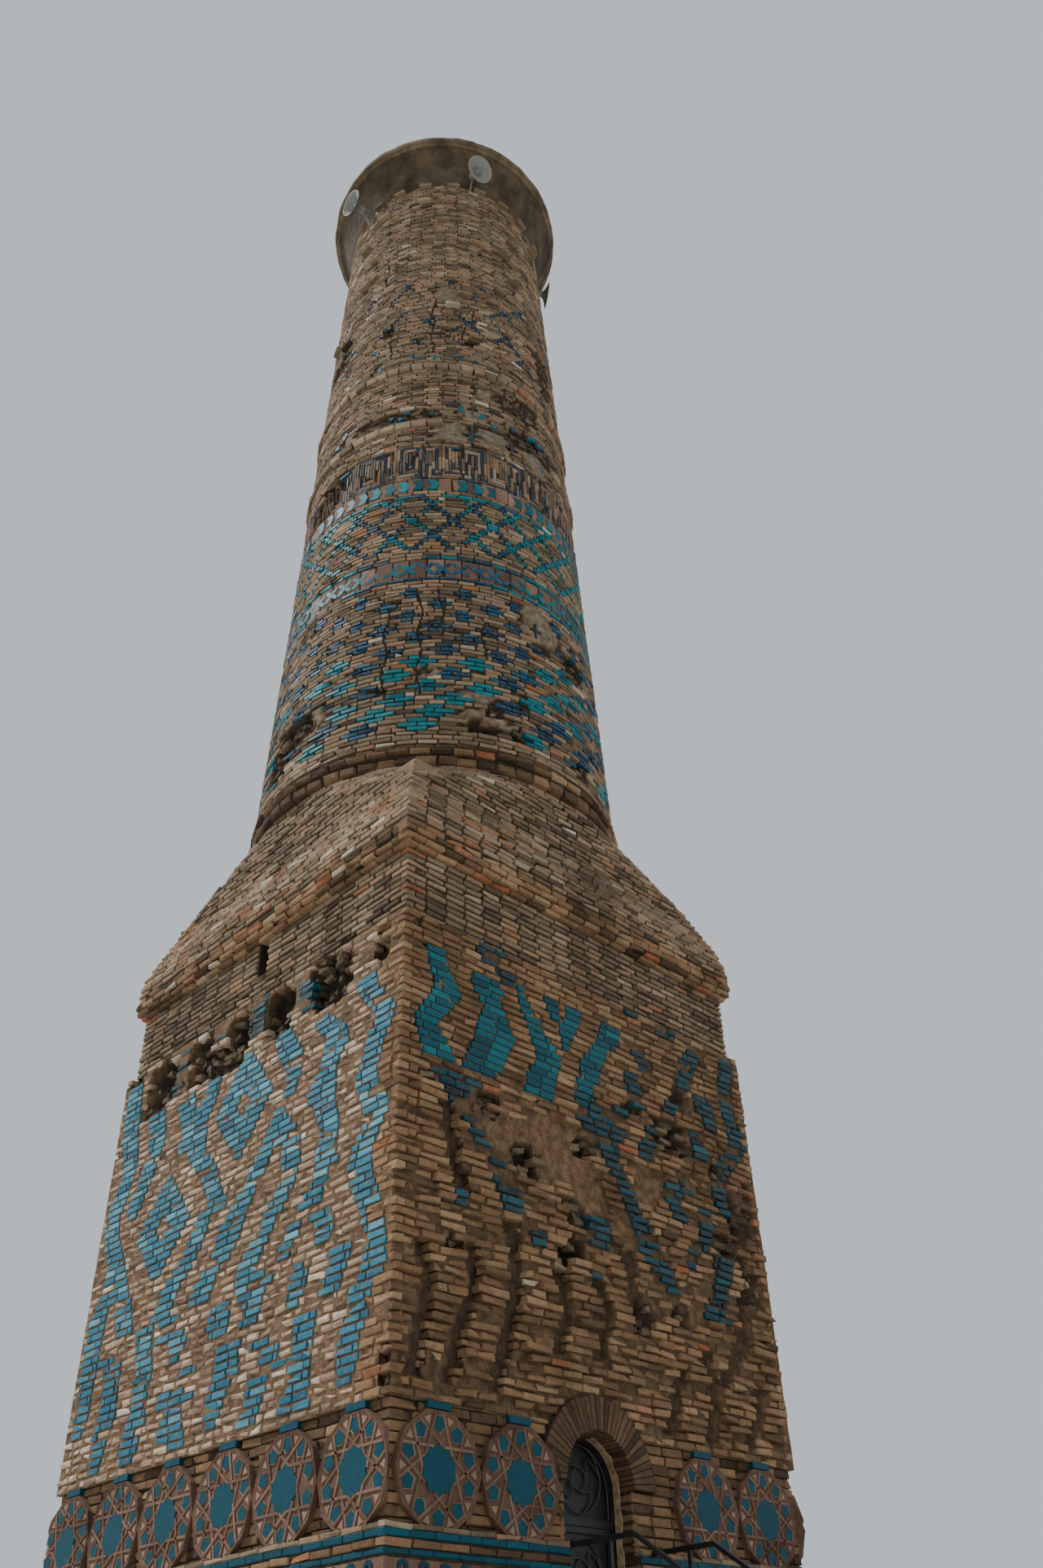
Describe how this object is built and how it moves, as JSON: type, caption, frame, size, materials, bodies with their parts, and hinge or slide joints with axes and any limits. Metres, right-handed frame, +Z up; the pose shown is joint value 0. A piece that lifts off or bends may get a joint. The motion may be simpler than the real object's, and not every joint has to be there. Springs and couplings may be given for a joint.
{
  "type": "brick minaret",
  "caption": "Weathered brick minaret: square base with glazed diamond patterns and decagonal medallions, arched iron door with stair, tapering round shaft, concrete cap.",
  "frame": {"origin": "on the tower's axis at ground level, in the middle of the underside of the stone plinth", "axes": "+Z up the tower; -Y out of the door, down the entrance stair; +X to the right of someone who faces the tower from outside its door"},
  "size_m": [5.2, 8.55, 26.4],
  "materials": {
    "brick": "weathered fired brick in lime mortar",
    "dark_brick": "weathered fired brick laid on end",
    "stone": "dressed limestone",
    "turquoise_glaze": "turquoise glazed tile set in carved terracotta",
    "cobalt_glaze": "dark blue glazed brick",
    "rubble": "rubble and mortar core where the facing is lost",
    "plaster": "broken yellowish plaster",
    "concrete": "rough stained concrete",
    "wrought_iron": "black painted wrought iron",
    "horn_paint": "weathered light grey paint"
  },
  "bodies": {
    "tower": {"stone_plinth": "stone", "brick_base": "brick", "front_wall_left": "brick", "front_wall_right": "brick", "back_wall": "brick", "left_wall": "brick", "right_wall": "brick", "door_arch": "dark_brick", "medallions_front_left": "turquoise_glaze", "medallions_front_right": "turquoise_glaze", "medallions_left": "turquoise_glaze", "medallions_right": "turquoise_glaze", "medallions_back": "turquoise_glaze", "body_front": "brick", "body_back": "brick", "body_left": "brick", "body_right": "brick", "neck_front": "brick", "neck_back": "brick", "neck_left": "brick", "neck_right": "brick", "slope_front": "brick", "slope_right": "brick", "slope_back": "brick", "slope_left": "brick", "rings_front": "dark_brick", "rings_right": "dark_brick", "rings_back": "dark_brick", "rings_left": "dark_brick", "shaft_lower_front": "brick", "shaft_lower_right": "brick", "shaft_lower_back": "brick", "shaft_lower_left": "brick", "shaft_upper_front": "brick", "shaft_upper_right": "brick", "shaft_upper_back": "brick", "shaft_upper_left": "brick", "cap": "concrete", "horn_front": "horn_paint", "horn_left": "horn_paint", "horn_right": "horn_paint", "entrance_stair": "stone", "handrail_left": "wrought_iron", "handrail_right": "wrought_iron", "door_post_left": "wrought_iron", "door_post_right": "wrought_iron", "fanlight": "wrought_iron"},
    "door": {"door_leaf": "wrought_iron"}
  },
  "joints": [
    {"name": "door_hinge", "type": "hinge", "parent": "tower", "child": "door", "pos_m": [0.1072, -2.195, 2.6], "axis": [0, 0, -1], "range_deg": [0, 90]}
  ]
}
